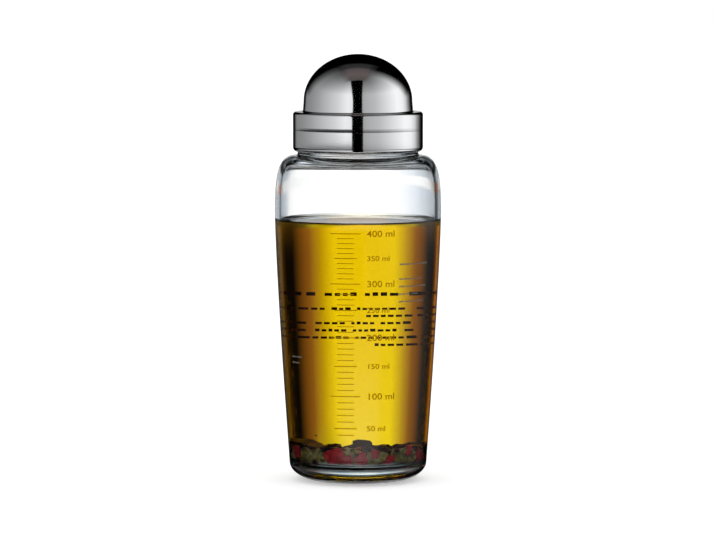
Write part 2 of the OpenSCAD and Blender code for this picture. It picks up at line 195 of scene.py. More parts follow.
class Nodes:
    """A short way to write a node tree."""

    def __init__(self, tree):
        self.tree = tree
        tree.nodes.clear()

    def add(self, kind, inputs=None, **settings):
        node = self.tree.nodes.new(kind)
        for key, value in settings.items():
            setattr(node, key, value)
        for key, value in (inputs or {}).items():
            if isinstance(value, bpy.types.NodeSocket):
                self.tree.links.new(value, node.inputs[key])
            else:
                node.inputs[key].default_value = value
        return node

    def math(self, operation, a, b=0.0, c=0.0):
        return self.add("ShaderNodeMath", {0: a, 1: b, 2: c}, operation=operation).outputs[0]

    def ramp(self, value, stops):
        """A colour by a value from 0 to 1; a plain number is a grey."""
        node = self.add("ShaderNodeValToRGB", {"Fac": value})
        elements = node.color_ramp.elements
        while len(elements) < len(stops):
            elements.new(1)
        for element, (place, colour) in zip(elements, stops):
            element.position = place
            if not isinstance(colour, tuple):
                colour = (colour, colour, colour)
            element.color = (*colour, 1)
        return node.outputs["Color"]

    def mix(self, share, a, b):
        """Colour a where the share is 0, colour b where it is 1."""
        node = self.add("ShaderNodeMix", {"Factor": share}, data_type="RGBA")
        for key, value in (("A", a), ("B", b)):
            sockets = [s for s in node.inputs if s.name == key and s.type == "RGBA"]
            if isinstance(value, bpy.types.NodeSocket):
                self.tree.links.new(value, sockets[0])
            else:
                sockets[0].default_value = (*value, 1)
        return [s for s in node.outputs if s.type == "RGBA"][0]

    def noise(self, scale, detail=3.0, roughness=0.5, stretch=None):
        place = self.add("ShaderNodeTexCoord").outputs["Object"]
        if stretch:
            place = self.add("ShaderNodeMapping", {"Vector": place, "Scale": stretch}).outputs[0]
        return self.add("ShaderNodeTexNoise", {"Vector": place, "Scale": scale, "Detail": detail,
                                               "Roughness": roughness}).outputs["Fac"]

    def multiply(self, *colours):
        result = colours[0]
        for colour in colours[1:]:
            node = self.add("ShaderNodeMix", {"Factor": 1}, data_type="RGBA", blend_type="MULTIPLY")
            first, second = [s for s in node.inputs if s.type == "RGBA"]
            self.tree.links.new(result, first)
            self.tree.links.new(colour, second)
            result = [s for s in node.outputs if s.type == "RGBA"][0]
        return result

    def span(self, value, low, high):
        """A value from 0 to 1 spread from low to high."""
        return self.add("ShaderNodeMapRange", {"Value": value, "To Min": low, "To Max": high}).outputs[0]

    def over(self, value, edge, soft=0.02):
        """1 above an edge, 0 below it."""
        return self.add("ShaderNodeMapRange", {"Value": value, "From Min": edge - soft,
                                               "From Max": edge + soft}).outputs[0]

    def under(self, value, edge, soft=0.02):
        """1 below an edge, 0 above it."""
        return self.over(value, edge, -soft)

    def inside(self, value, low, high, soft=0.02):
        """1 between low and high, 0 outside them."""
        return self.math("MULTIPLY", self.over(value, low, soft), self.under(value, high, soft))

    def bump(self, height, strength, distance):
        return self.add("ShaderNodeBump", {"Height": height, "Strength": strength,
                                           "Distance": distance}).outputs[0]

    def feed(self, node, **sockets):
        """Links values to a node's inputs, with _ for each space in a name."""
        for key, value in sockets.items():
            self.tree.links.new(value, node.inputs[key.replace("_", " ")])


def material(name, **sockets):
    """A new material with one Principled shader whose own sockets hold the plain values."""
    made = bpy.data.materials.new(name)
    made.use_nodes = True
    nodes = Nodes(made.node_tree)
    shader = nodes.add("ShaderNodeBsdfPrincipled")
    out = nodes.add("ShaderNodeOutputMaterial", {"Surface": shader.outputs[0]})
    for key, value in sockets.items():
        shader.inputs[key.replace("_", " ")].default_value = value
    return made, nodes, shader, out


def clear_glass():
    made, nodes, shader, out = material(
        "clear_glass", Transmission_Weight=1, IOR=1.5, Base_Color=(1, 1, 1, 1))
    wave = nodes.noise(28, detail=1)
    tint = nodes.add("ShaderNodeVolumeAbsorption", {"Color": (0.72, 0.86, 0.84, 1), "Density": 14})
    nodes.feed(shader, Normal=nodes.bump(wave, strength=0.06, distance=0.0006),
               Roughness=nodes.span(nodes.noise(90), low=0, high=0.012))
    nodes.feed(out, Volume=tint.outputs[0])
    return made


def liquid():
    made, nodes, shader, out = material(
        "dressing", Transmission_Weight=1, IOR=1.47, Roughness=0, Base_Color=(1, 1, 1, 1))
    wave = nodes.noise(60, detail=1)
    tint = nodes.add("ShaderNodeVolumeAbsorption", {"Color": (0.978, 0.914, 0.05, 1), "Density": 90})
    nodes.feed(shader, Normal=nodes.bump(wave, strength=0.03, distance=0.0004))
    nodes.feed(out, Volume=tint.outputs[0])
    return made


def steel(name, colour, low, high):
    """Turned steel, brushed round its axis, with its roughness from low to high."""
    made, nodes, shader, out = material(name, Metallic=1, Base_Color=(*colour, 1))
    polish = nodes.noise(260, detail=4, stretch=(1, 1, 14))
    nodes.feed(shader, Normal=nodes.bump(polish, strength=0.05, distance=0.00004),
               Roughness=nodes.span(polish, low, high))
    return made


def moulded(name, colour, low, high, grain):
    """Plastic or rubber with a fine grain, and patches that are a little paler."""
    made, nodes, shader, out = material(name, Base_Color=(*colour, 1))
    fine = nodes.noise(grain, detail=5)
    paler = tuple(1.35 * c for c in colour)
    shade = nodes.mix(nodes.span(nodes.noise(40), low=0, high=0.5), colour, paler)
    nodes.feed(shader, Normal=nodes.bump(fine, strength=0.15, distance=0.00005),
               Roughness=nodes.span(fine, low, high), Base_Color=shade)
    return made


def wet(name, colours, scale, gloss):
    """Plant matter soaked in oil, so it hardly shines: its colour wanders between a few shades."""
    made, nodes, shader, out = material(name, Specular_IOR_Level=0.12,
                                        Subsurface_Weight=0.15, Subsurface_Scale=0.001)
    shade = nodes.ramp(nodes.noise(scale, detail=6, roughness=0.65),
                       [(0.3 + 0.4 * i / (len(colours) - 1), c) for i, c in enumerate(colours)])
    grain = nodes.noise(1400, detail=4)
    nodes.feed(shader, Normal=nodes.bump(grain, strength=0.5, distance=0.0002), Base_Color=shade,
               Roughness=nodes.span(nodes.noise(900), gloss, gloss + 0.25))
    return made


def ink(name, thin, full):
    """Matt print whose colour wanders between where it is thin and where it is full."""
    made, nodes, shader, out = material(name, Roughness=0.5, Specular_IOR_Level=0)
    nodes.feed(shader, Base_Color=nodes.mix(nodes.noise(2200, detail=2), full, thin))
    return made


def glass_path():
    """The bottle's outline, from the middle of the foot round the outside and back down inside."""
    heel = [(FOOT_R + HEEL_W * math.sin(a), HEEL_H * (1 - math.cos(a)), 0)
            for a in (math.radians(i) for i in range(HEEL_STEP, 90, HEEL_STEP))]
    return outline([
        (0, PUNT_H, 0),
        ((FOOT_R - FOOT_W) * PUNT_FLAT, PUNT_H, PUNT_ROUND),
        (FOOT_R - FOOT_W, 0, FOOT_ROUND),
        (FOOT_R, 0, 0)]
        + heel + flank(0, HEEL_H) + [
        (BEAD_R, SHOULDER_TOP, BEAD_ROUND),
        (BEAD_R, BEAD_TOP, BEAD_ROUND),
        (NECK_R, BEAD_TOP, NECK_ROUND),
        (NECK_R, BOTTLE_H, RIM_ROUND),
        (BORE_R, BOTTLE_H, RIM_ROUND),
        (BORE_R, SHOULDER_TOP - GLASS_T, BORE_ROUND)]
        + cavity(0))


def apply(piece):
    """Applies a piece's modifiers to its mesh."""
    graph = bpy.context.evaluated_depsgraph_get()
    mesh = bpy.data.meshes.new_from_object(piece.evaluated_get(graph))
    piece.modifiers.clear()
    piece.data = mesh


def ridge(start):
    """One thread ridge on the neck, as a closed strip that fades out at both ends."""
    steps, fade, root, thin = 40, 6, 0.3, 0.08
    bm = bmesh.new()
    rings = []
    for i in range(steps + 1):
        height = thin + (1 - thin) * min(1, i / fade, (steps - i) / fade)
        angle = start + math.radians(RIDGE_ARC * i / steps)
        z = RIDGE_Z + RIDGE_RISE * i / steps
        half = RIDGE_W / 2 * (1 - RIDGE_SLOPE * height)
        section = [(NECK_R - root, -RIDGE_W / 2), (NECK_R + RIDGE_H * height, -half),
                   (NECK_R + RIDGE_H * height, half), (NECK_R - root, RIDGE_W / 2)]
        rings.append([bm.verts.new((r * MM * math.cos(angle), r * MM * math.sin(angle), (z + h) * MM))
                      for r, h in section])
    for a, b in zip(rings, rings[1:]):
        for k in range(4):
            bm.faces.new((a[k], a[(k + 1) % 4], b[(k + 1) % 4], b[k]))
    bm.faces.new(rings[0])
    bm.faces.new(rings[-1])
    return new_piece("ridge", bm)


def make_glass():
    """The glass, with its thread joined to the neck."""
    glass = lathe("bottle_glass", glass_path())
    for k in range(THREAD_STARTS):
        strip = ridge(TURN * k / THREAD_STARTS)
        join = glass.modifiers.new("thread", "BOOLEAN")
        join.operation, join.object, join.solver = "UNION", strip, "EXACT"
        apply(glass)
        bpy.data.objects.remove(strip)
    add(smooth(glass, SHARP), clear_glass(), "bottle", "clear_glass", "glass_bottle")


def make_liquid():
    """The dressing wets the glass and climbs it in a thin curve."""
    wall, step_down = BELLY_R - GLASS_T + SOAK, 0.3
    surface = []
    for i in range(MENISCUS_RINGS + 1):
        d = MENISCUS_R * (1 - (1 - i / MENISCUS_RINGS) ** 2)
        surface.append(Vector((wall - d, FILL_Z + MENISCUS_H * math.exp(-d / MENISCUS_REACH))))
    below = [p for p in outline(cavity(-SOAK)) if p.y < surface[0].y - step_down]
    surface[0].x = below[0].x
    fill = lathe("dressing_fill", [Vector((0, FILL_Z))] + surface[::-1] + below)
    add(fill, liquid(), "bottle", "dressing", "dressing")


# Pieces that lie against the glass at the front: kind, degrees to the right, height and half length
FRONT_PIECES = [
    ("pepper", -20, 14, 4.6), ("pepper", -11, 11.6, 3.2), ("pepper", 3, 13.2, 3), ("pepper", -66, 15, 3),
    ("pepper", 29, 12.2, 2.8), ("pepper", 50, 16.4, 2.6), ("pepper", 68, 12.4, 3),
    ("pepper", 15, 15.4, 2.2),
    ("leaf", -8, 15.6, 3.8), ("leaf", -36, 12.6, 4.4), ("leaf", -47, 13, 4.6), ("leaf", -58, 12, 4),
    ("leaf", 12, 12.6, 4.2), ("leaf", 21, 14, 4.4), ("leaf", 37, 13.6, 4.6), ("leaf", 46, 12.4, 4.4),
    ("leaf", 57, 13, 4.4), ("leaf", 41, 15.6, 3.6), ("leaf", -40, 15.2, 3.6), ("leaf", -52, 16, 3),
    ("dark", -25, 17.6, 3.6), ("dark", -35, 17, 3.6), ("dark", -14, 17.2, 3), ("dark", -1, 15.8, 2.6),
    ("dark", 9, 17.2, 3.6), ("dark", 18, 17.8, 3.8), ("dark", 27, 18, 3.6), ("dark", 36, 17.2, 3),
    ("dark", -72, 16, 3.6), ("dark", 76, 16, 3.6), ("dark", -58, 17.2, 3.4), ("dark", 62, 17, 3)]
PEPPER_REDS = [(0.2, 0.006, 0.012), (0.42, 0.012, 0.03), (0.5, 0.03, 0.045), (0.3, 0.01, 0.02)]
HERB_GREENS = [(0.05, 0.04, 0.012), (0.16, 0.13, 0.035), (0.24, 0.2, 0.06), (0.36, 0.31, 0.14),
               (0.12, 0.06, 0.04)]
DARK_LEAF = [(0.012, 0.005, 0.008), (0.05, 0.012, 0.02), (0.03, 0.026, 0.01)]
CORN_GREENS = [(0.22, 0.2, 0.09), (0.34, 0.33, 0.18), (0.12, 0.11, 0.05)]
# Thickness, crumple, distance in from the glass, and lean of the pieces at the front
FRONT_KINDS = {"pepper": (1.6, 0.5, 0.8, 0.12), "leaf": (0.5, 0.9, 1, 0.12), "dark": (0.5, 0.6, 3, 0.25)}
# The chips of the heap: half length from and to, thickness and crumple
CARPET, TOPPING = (3.4, 4.2, 0.5, 0.2), (3.2, 4.4, 0.5, 1.1)
CUBE, LEAF = (2.2, 3.2, 1.5, 0.5), (3, 4.2, 0.55, 1)
CORN_SIZES = (1.6, 1.9)
# The lone speck that floats above the heap
SPECK_AT = (-20.4, -25.5, 24)
# Every chip: points round it, rings between its middle and its edge, how much the edge thins, and its folds
CHIP_SIDES, CHIP_RINGS, EDGE_THIN, FOLD_SCALE = 18, (0.35, 0.7, 0.92), 0.5, 0.55
# Room left between the food and the glass
FLOOR_GAP, WALL_GAP = 0.25, 0.3
# The heap: rings on the floor, rows at the glass up to an uneven top, and layers of rings within
FLOOR_RINGS, FLOOR_STEP, FLOOR_SPACING, FLOOR_LIFT, FLOOR_LEAN = 9, 3.5, 4, 0.7, 0.05
WALL_ROWS, WALL_COUNT, RIM_H, RIM_LEAN = (12, 14, 16, 17.5), 34, 1.7, 0.3
TOP_Z, TOP_WAVE, TOP_BUMPS = 16.8, 1.8, 2.2
LAYERS, LAYER_RINGS, LAYER_STEP, LAYER_SPACING, LAYER_LEAN = (12, 13.6, 15.2), 5, 4.6, 5, 0.4
# Bounds on a draw from 0 to 1 that tell what a place in the heap holds
DARK_ON_TOP, RED_IN_PATCH, RED_ELSEWHERE, PALE_LEAF, NO_CORN = 0.7, 0.8, 0.1, 0.8, 0.95
# Where peppers lie close together: x, y and radius
RED_PATCHES = [(-10, -28, 5), (27, -12, 4), (3, -28, 3),
               (-20, 18, 6), (8, 26, 6), (24, 14, 5), (0, 0, 7)]


def inner_radius(z):
    """Radius of the bottle's inside at height z."""
    side = side_at(z) - GLASS_T
    centre_z = BASE_T + FLOOR_ROUND
    if z >= centre_z:
        return side
    floor_side = side_at(BASE_T) - GLASS_T
    return min(side, floor_side - FLOOR_ROUND + math.sqrt(max(FLOOR_ROUND ** 2 - (centre_z - z) ** 2, 0)))


def keep_inside(p):
    """Moves a point of a piece of food off the glass and the floor."""
    p.z = max(p.z, BASE_T + FLOOR_GAP)
    r, limit = math.hypot(p.x, p.y), inner_radius(p.z) - WALL_GAP
    if r > limit:
        p.x, p.y = p.x * limit / r, p.y * limit / r
    return p


def chip(bm, rng, shape, size, thick, crumple, place):
    """One flat piece of food: shape gives its outline, and it is bent, crumpled and rounded at its edge."""
    sides, seed = CHIP_SIDES, Vector([rng.uniform(0, 90) for k in range(3)])
    bend = rng.uniform(-0.12, 0.12)
    stretch = rng.uniform(0.75, 1)
    reaches = [shape(TURN * k / sides, rng) * size for k in range(sides)]

    def point(k, share, side):
        angle = TURN * k / sides
        x, y = reaches[k] * share * math.cos(angle), reaches[k] * share * math.sin(angle) * stretch
        fold = crumple * noise.noise(Vector((x, y, 0)) * FOLD_SCALE + seed)
        z = side * thick / 2 * (1 - EDGE_THIN * share ** 6) + bend * x * x + fold
        return bm.verts.new(keep_inside(place @ Vector((x, y, z))) * MM)

    tops = [[point(k, share, 1) for k in range(sides)] for share in CHIP_RINGS]
    rim = [point(k, 1, 0) for k in range(sides)]
    feet = [[point(k, share, -1) for k in range(sides)] for share in CHIP_RINGS[::-1]]
    rings = tops + [rim] + feet
    for a, b in zip(rings, rings[1:]):
        for k in range(sides):
            after = (k + 1) % sides
            bm.faces.new((a[k], b[k], b[after], a[after]))
    for ring, side in ((tops[0], 1), (feet[-1], -1)):
        middle = point(0, 0, side)
        for k in range(sides):
            pair = (ring[k], ring[(k + 1) % sides])
            bm.faces.new((middle, *pair) if side == 1 else (middle, *pair[::-1]))


def diced(angle, rng):
    """Outline of a rough square."""
    power = 7
    square = (abs(math.cos(angle)) ** power + abs(math.sin(angle)) ** power) ** (-1 / power)
    return square * rng.uniform(0.9, 1.06)


def flaked(angle, rng):
    """Outline of a torn leaf, longer than wide."""
    return (0.62 + 0.38 * abs(math.cos(angle)) ** 1.5) * rng.uniform(0.78, 1.12)


def corn(bm, rng, size, at):
    """A peppercorn, round with a net of wrinkles."""
    made = bmesh.ops.create_icosphere(bm, subdivisions=4, radius=1)["verts"]
    seed = Vector([rng.uniform(0, 90) for k in range(3)])
    for v in made:
        wrinkle = abs(noise.noise(v.co * 2.6 + seed)) + 0.4 * abs(noise.noise(v.co * 6 + seed))
        v.co = keep_inside(Vector(at) + v.co * (size * (0.93 + 0.16 * min(wrinkle, 0.5)))) * MM


def at_glass(angle, high, inset, rng, lean=0.3):
    """A place at the glass, facing out, angle radians round from the front."""
    r = inner_radius(high) - inset
    turned = (Matrix.Rotation(angle - math.pi / 2, 4, "Z")
              @ Matrix.Rotation(math.pi / 2 + rng.gauss(0, lean), 4, "Y")
              @ Matrix.Rotation(rng.uniform(0, TURN), 4, "Z"))
    return Matrix.Translation((r * math.sin(angle), -r * math.cos(angle), high)) @ turned


def lying(r, angle, high, rng, lean):
    """A place within the heap, lying more or less flat."""
    turned = (Matrix.Rotation(rng.uniform(0, TURN), 4, "Z")
              @ Matrix.Rotation(rng.gauss(0, lean), 4, "X") @ Matrix.Rotation(rng.gauss(0, lean), 4, "Y"))
    return Matrix.Translation((r * math.sin(angle), -r * math.cos(angle), high)) @ turned


def heap(rng):
    """Places in the heap of herbs with their layer: flat on the floor, up at the glass, loose within."""
    for ring in range(FLOOR_RINGS):
        r = 1 + FLOOR_STEP * ring
        count = max(1, int(TURN * r / FLOOR_SPACING))
        for k in range(count):
            angle = TURN * (k + rng.uniform(-0.3, 0.3)) / count
            yield lying(r, angle, BASE_T + FLOOR_LIFT, rng, FLOOR_LEAN), "floor"
    for row, z in enumerate(WALL_ROWS):
        count = WALL_COUNT + row
        for k in range(count):
            angle = TURN * (k + 0.5 * (row % 2) + rng.uniform(-0.25, 0.25)) / count
            around = Vector((TOP_BUMPS * math.cos(angle), TOP_BUMPS * math.sin(angle), 3.7))
            top = TOP_Z + TOP_WAVE * noise.noise(around)
            high = z + rng.uniform(-0.5, 0.5)
            if high < top - RIM_H:
                yield at_glass(angle, high, rng.uniform(2, 3), rng), "side"
            elif high < top:
                yield lying(inner_radius(high) - rng.uniform(3.5, 5), angle, high, rng, RIM_LEAN), "top"
    for layer, z in enumerate(LAYERS):
        for ring in range(1, LAYER_RINGS + 1):
            r = LAYER_STEP * ring + rng.uniform(-0.4, 0.4)
            count = int(TURN * r / LAYER_SPACING)
            for k in range(count):
                angle = TURN * (k + rng.uniform(-0.3, 0.3)) / count + ring + layer
                high = z + rng.uniform(-0.7, 0.7)
                yield lying(r, angle, high, rng, LAYER_LEAN), "top" if z == LAYERS[-1] else "within"


def in_red_patch(at):
    """Whether a place is one where peppers lie close together."""
    return any(math.hypot(at.x - x, at.y - y) < reach for x, y, reach in RED_PATCHES)


def loose(bm, rng, shape, kind, place):
    """A chip within the heap, of a size that its kind allows."""
    low, high, thick, crumple = kind
    chip(bm, rng, shape, rng.uniform(low, high), thick, crumple, place)


def make_food():
    """Diced pepper, herb flakes and peppercorns, packed on the floor of the bottle."""
    rng = random.Random(5)
    peppers, leaves, dark, corns = (bmesh.new() for k in range(4))
    chips = {"pepper": (peppers, diced), "leaf": (leaves, flaked), "dark": (dark, flaked)}
    for kind, degrees, high, size in FRONT_PIECES:
        angle = math.radians(degrees)
        thick, crumple, inset, lean = FRONT_KINDS[kind]
        if kind == "dark":
            place = lying(inner_radius(high) - inset, angle, high, rng, lean)
        else:
            place = at_glass(angle, high, inset, rng, lean)
        bm, shape = chips[kind]
        chip(bm, rng, shape, size, thick, crumple, place)
    for place, layer in heap(rng):
        pick = rng.random()
        if layer == "floor":
            loose(dark, rng, flaked, CARPET, place)
        elif layer == "top" and pick < DARK_ON_TOP:
            loose(dark, rng, flaked, TOPPING, place)
        elif pick < (RED_IN_PATCH if in_red_patch(place.translation) else RED_ELSEWHERE):
            loose(peppers, rng, diced, CUBE, place)
        elif pick > NO_CORN:
            corn(corns, rng, rng.uniform(*CORN_SIZES), place.translation)
        else:
            loose(leaves if pick < PALE_LEAF else dark, rng, flaked, LEAF, place)
    speck = Matrix.Translation(SPECK_AT) @ Matrix.Rotation(1.2, 4, "X")
    chip(dark, rng, flaked, size=0.7, thick=0.3, crumple=0.1, place=speck)
    for name, bm, look, slot, *nodes in (
            ("diced_pepper", peppers, wet("red_pepper", PEPPER_REDS, 160, 0.2),
             "red_pepper", "pepper_pieces"),
            ("herb_flakes", leaves, wet("herb_leaf", HERB_GREENS, 200, 0.3), "herb_leaf", "herb_leaves"),
            ("dark_flakes", dark, wet("dark_leaf", DARK_LEAF, 200, 0.3), "herb_leaf"),
            ("green_peppercorns", corns, wet("peppercorn", CORN_GREENS, 500, 0.25),
             "peppercorn", "peppercorns")):
        add(smooth(new_piece(name, bm), FOOD_SHARP), look, "bottle", slot, *nodes)


# Print: how far it stands out of the glass and reaches into it, and the length of its facets
INK_T, INK_ROOT, BAR_STEP = 0.035, 0.02, 0.8
# The scale: middle of its lines, left end of its figures, its ends, and what it is moved up by in ml
SCALE_X, LABEL_X, FIRST_ML, LAST_ML, SCALE_SHIFT = -6.05, 4.1, 40, 400, 5.3
# Its figures: how far below the line they start and how bold they are, by their height, and their stretch
FIGURE_DROP, FIGURE_BOLD, FIGURE_STRETCH = 0.35, 0.012, 1.18
# Its lines: the step in ml that they mark, half length, thickness, and the height of their figures
TICKS = [(100, 7.2, 0.42, 4.3), (50, 5.4, 0.42, 3.5), (10, 4, 0.34, 0)]
SCALE_INK = (0.4, 0.21, 0.002), (0.32, 0.16, 0.001)


def height_of(ml):
    """Height up to which the bottle holds so many millilitres, moved up to where the photo has its line."""
    z, held, step, cubic_mm = BASE_T, -SCALE_SHIFT, 0.05, 1000
    while held < ml:
        held += math.pi * inner_radius(z + step / 2) ** 2 * step / cubic_mm
        z += step
    return z


def on_glass(across, height, lift, turn=0.0):
    """A point on the outside of the glass, across to the right of a bearing that starts at the front."""
    r = side_at(height)
    angle = across / r + turn
    return Vector(((r + lift) * math.sin(angle), -(r + lift) * math.cos(angle), height)) * MM


def bar(bm, left, right, z, thick, turn=0.0):
    """A printed bar that follows the glass."""
    steps = max(2, round((right - left) / BAR_STEP))
    rings = []
    for i in range(steps + 1):
        u = left + (right - left) * i / steps
        rings.append([bm.verts.new(on_glass(u, z + h, lift, turn)) for h, lift in (
            (-thick / 2, -INK_ROOT), (-thick / 2, INK_T), (thick / 2, INK_T), (thick / 2, -INK_ROOT))])
    for a, b in zip(rings, rings[1:]):
        for k in range(4):
            bm.faces.new((a[k], b[k], b[(k + 1) % 4], a[(k + 1) % 4]))
    bm.faces.new(rings[0])
    bm.faces.new(rings[-1][::-1])


def figures(bm, text, left, z, size):
    """Figures on the glass, set by their lower left corner and drawn out sideways."""
    letters = bpy.data.curves.new("figures", "FONT")
    letters.body = text
    letters.size = size
    letters.extrude = (INK_T + INK_ROOT) / 2
    letters.offset = FIGURE_BOLD * size
    letters.resolution_u = 3
    flat = bpy.data.objects.new("figures", letters)
    bpy.context.scene.collection.objects.link(flat)
    bpy.context.view_layer.update()
    mesh = bpy.data.meshes.new_from_object(flat.evaluated_get(bpy.context.evaluated_depsgraph_get()))
    for v in mesh.vertices:
        v.co = on_glass(left + FIGURE_STRETCH * v.co.x, z + v.co.y, v.co.z + (INK_T - INK_ROOT) / 2)
    bm.from_mesh(mesh)
    bpy.data.objects.remove(flat)
    bpy.data.curves.remove(letters)
    bpy.data.meshes.remove(mesh)


def make_scale():
    """The millilitre scale on the front: a line every 10 ml and figures every 50 ml."""
    bm = bmesh.new()
    for ml in range(FIRST_ML, LAST_ML + 1, TICKS[-1][0]):
        z = height_of(ml)
        half, thick, tall = next(tick[1:] for tick in TICKS if ml % tick[0] == 0)
        bar(bm, SCALE_X - half, SCALE_X + half, z, thick)
        if tall:
            figures(bm, "%d ml" % ml, LABEL_X, z - FIGURE_DROP * tall, tall)
    piece = new_piece("scale_print", bm)
    piece.data.shade_flat()
    add(piece, ink("scale_ink", *SCALE_INK), "bottle", "clear_glass")


# Blocks of plain lines: bearing from the front, left end, size of a row, and each row's height and width
BACK_BLOCKS = [
    (math.pi, -14, 2.2, [(88.6, 25)]),
    (math.pi, -19, 1.7, [(81.8, 37), (78.4, 20), (74.9, 36), (71.4, 38), (67.9, 33), (64.4, 17)])]
FRONT_BLOCKS = [
    (0.53, 0, 1.1, [(106, 18), (99, 14), (95.4, 17), (91.8, 12), (88.2, 16)]),
    (-1.02, 0, 1, [(61, 9), (58.2, 7)])]
# Name of each piece, its blocks, and the colour of its ink where thin and where full
PLAIN_LINES = [
    ("back", BACK_BLOCKS, (0.06, 0.02, 0.01), (0.04, 0.01, 0.006)),
    ("front", FRONT_BLOCKS, (0.15, 0.14, 0.12), (0.12, 0.11, 0.1))]
# Dashes, by the size of a row: heights to choose from, widths from and to, gaps within and after a group
DASH_HEIGHTS, DASH_WIDTHS, DASH_GAP, GROUP_GAP = (0.65, 0.65, 0.65, 0.8), (0.35, 0.6), 0.22, 0.45
# Fewest and most dashes in a group
GROUP = 3, 8


def plain_line(bm, rng, left, width, z, tall, turn):
    """A row of small dashes in groups, which stands for a line of print and forms no letters."""
    u, end = left, left + width
    while u < end - tall:
        for k in range(rng.randint(*GROUP)):
            high, wide = tall * rng.choice(DASH_HEIGHTS), tall * rng.uniform(*DASH_WIDTHS)
            if u + wide < end:
                bar(bm, u, u + wide, z + high / 2, high, turn)
            u += wide + DASH_GAP * tall
        u += GROUP_GAP * tall


def make_plain_lines():
    """Plain dashes where the bottle carries its recipes: at the back and at the front's left and right."""
    rng = random.Random(3)
    for name, blocks, thin, full in PLAIN_LINES:
        bm = bmesh.new()
        for turn, left, tall, rows in blocks:
            for z, width in rows:
                plain_line(bm, rng, left, width, z, tall, turn)
        piece = new_piece(name + "_lines", bm)
        piece.data.shade_flat()
        add(piece, ink(name + "_ink", thin, full), "bottle", "clear_glass")


def cap_path(inset):
    """The cap's dome, step and band, moved in by inset."""
    dome = []
    for i in range(DOME_RINGS + 1):
        angle = math.pi / 2 * (1 - i / DOME_RINGS)
        dome.append(((DOME_R - inset) * math.cos(angle), DOME_Z + (DOME_RISE - inset) * math.sin(angle), 0))
    dome[0] = (0, DOME_TOP - inset, 0)
    return dome + [
        (DOME_R + DOME_DRAFT - inset, BAND_TOP - inset, STEP_ROUND + inset),
        (SLEEVE_R - inset, BAND_TOP - inset, BAND_ROUND - inset)]


def make_cap(finish):
    shell = lathe("cap_steel", outline(cap_path(0) + [
        (SLEEVE_R, BAND_Z + SEAM_DIP_H, SEAM_BLEND),
        (SLEEVE_R - SEAM_DIP, BAND_Z, SEAM_ROUND),
        (SLEEVE_R - STEEL_T, BAND_Z, EDGE_ROUND)] + cap_path(STEEL_T)[::-1]), STEEL_SIDES)
    add(shell, finish, "cap", "polished_steel", "cap_shell")


def make_sleeve(finish):
    sleeve = lathe("sleeve_steel", outline([
        (CURL_R, SLEEVE_Z, CURL_ROUND),
        (SLEEVE_R, SLEEVE_Z, SLEEVE_ROUND),
        (SLEEVE_R, SLEEVE_TOP - SEAM_DIP_H, SEAM_BLEND),
        (SLEEVE_R - SEAM_DIP, SLEEVE_TOP, SEAM_ROUND),
        (LIP_R, SLEEVE_TOP, EDGE_ROUND),
        (LIP_R, SLEEVE_TOP - STEEL_T, EDGE_ROUND),
        (SLEEVE_R - STEEL_T, SLEEVE_TOP - STEEL_T, 0),
        (SLEEVE_R - STEEL_T, SLEEVE_Z + STEEL_T, SLEEVE_ROUND - STEEL_T),
        (CURL_R, SLEEVE_Z + STEEL_T, CURL_ROUND)]), STEEL_SIDES)
    add(sleeve, finish, "head", "polished_steel", "sleeve")


def finish_cad():
    """Materials for the pieces that keep their CAD mesh."""
    plastic, silicone = (0.03, 0.03, 0.032), (0.75, 0.75, 0.72)
    finishes = {
        "pourer": moulded("pourer_plastic", plastic, 0.25, 0.4, grain=1500),
        "cap_liner": moulded("liner_plastic", plastic, 0.3, 0.45, grain=1500),
        "strainer": steel("strainer_steel", (0.72, 0.73, 0.74), 0.2, 0.32),
        "neck_gasket": moulded("gasket_silicone", silicone, 0.45, 0.6, grain=2500),
        "spigot_ring": moulded("ring_silicone", silicone, 0.45, 0.6, grain=2500),
        "cap_seal": moulded("seal_silicone", silicone, 0.45, 0.6, grain=2500)}
    for name, finish in finishes.items():
        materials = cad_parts[name].data.materials
        materials.clear()
        materials.append(finish)


# What steel and glass reflect. A direction has the parts x to the right, y to the back and z up, each from
# -1 to 1, and an edge is given as its place and its softness.
# Brightness of the walls by degrees to the right of the camera, and by height
SOFTBOXES = [
    (-180, 0.55), (-172, 0.5), (-167, 0), (-157, 0), (-152, 0.004), (-146, 0.1), (-141, 0.24),
    (-131, 0.28), (-116, 0.31), (-93, 0.41), (-66, 0.6), (-42, 0.79), (-22, 1.04), (-9, 0.98), (0, 0.7),
    (8, 0.44), (22, 0.53), (37, 0.6), (52, 0.75), (69, 0.93), (92, 1.15), (108, 1.07), (121, 0.74),
    (128, 0.4), (138, 0.13), (143, 0.05), (147, 0.003), (166, 0), (171, 0.5), (180, 0.55)]
WALL_FADE = [(0, 1), (0.35, 1), (0.7, 0.55), (0.87, 0.3), (0.96, 0.14), (1, 0.1)]
# Share of that brightness on the table, from level to straight down
UNDERSIDE = [(0.32, 0.9), (0.6, 0.9), (0.75, 0.08), (0.85, 0), (1, 0)]
TABLE_LEFT = [(0.07, 1), (0.085, 0.1), (0.11, 0.01), (0.26, 0.01), *UNDERSIDE]
TABLE_RIGHT = [(0.07, 1), (0.12, 0.25), (0.26, 0.13), *UNDERSIDE]
# Brightness of the ceiling that the dome reflects over the gap, from front to back; its edges, and how the
# right one leans with y
CEILING = [
    (0.27, (0.1, 0.083, 0.08)), (0.42, (0.14, 0.115, 0.11)), (0.55, (0.11, 0.09, 0.088)), (0.62, 0.03)]
CEILING_Z, CEILING_LEFT, CEILING_RIGHT, CEILING_LEAN = 0.4, (-0.33, 0.1), (0.317, 0.06), -0.225
# The dark gap at the camera: its edges, how the left one leans, and how far back it goes
GAP_LEFT, GAP_RIGHT, GAP_LEAN, GAP_BACK = (-0.185, 0.006), (0.155, 0.006), 0.05, -0.46
